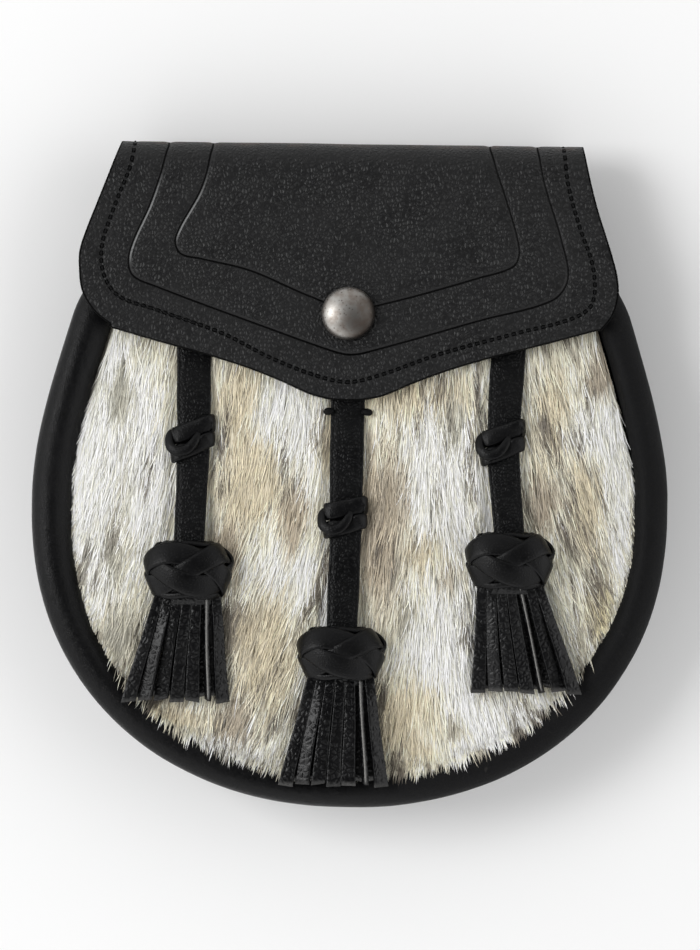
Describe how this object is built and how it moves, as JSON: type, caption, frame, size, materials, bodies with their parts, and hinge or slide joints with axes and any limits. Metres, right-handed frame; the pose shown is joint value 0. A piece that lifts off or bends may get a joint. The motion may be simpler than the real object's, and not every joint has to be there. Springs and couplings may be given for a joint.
{
  "type": "sporran pouch",
  "caption": "Round-bottomed leather sporran pouch with a hair-on hide front, padded rim, studded fold-over flap, leather tassels on straps and belt loops behind.",
  "frame": {"origin": "on the ground under the middle of the pouch, which lies on its back", "axes": "+X to the right in the front view, +Y towards the folded top, +Z out of the front"},
  "size_m": [0.19, 0.1985, 0.0426],
  "materials": {
    "black_leather": "smooth semi-matt black leather",
    "rim_leather": "smooth black leather with a soft sheen",
    "grained_leather": "pebble-grained black leather",
    "strap_leather": "fine-grained black leather",
    "tassel_leather": "pebble-grained black leather with grey cut edges",
    "lace_leather": "smooth black lace leather",
    "goat_hide": "hair-on goat hide, cream with tan and grey streaks",
    "pewter": "antiqued pewter"
  },
  "bodies": {
    "root": {"back_panel": "black_leather", "gusset": "black_leather", "front_rim": "rim_leather", "hide_front": "goat_hide", "flap": "grained_leather", "stud_cap": "pewter", "stud_post": "pewter", "strap_left": "strap_leather", "keeper_left": "lace_leather", "tassel_head_left": "lace_leather", "tassel_skirt_left": "tassel_leather", "strap_centre": "strap_leather", "keeper_centre": "lace_leather", "tassel_head_centre": "lace_leather", "tassel_skirt_centre": "tassel_leather", "strap_right": "strap_leather", "keeper_right": "lace_leather", "tassel_head_right": "lace_leather", "tassel_skirt_right": "tassel_leather", "belt_loop_left": "black_leather", "belt_loop_right": "black_leather"}
  },
  "joints": []
}
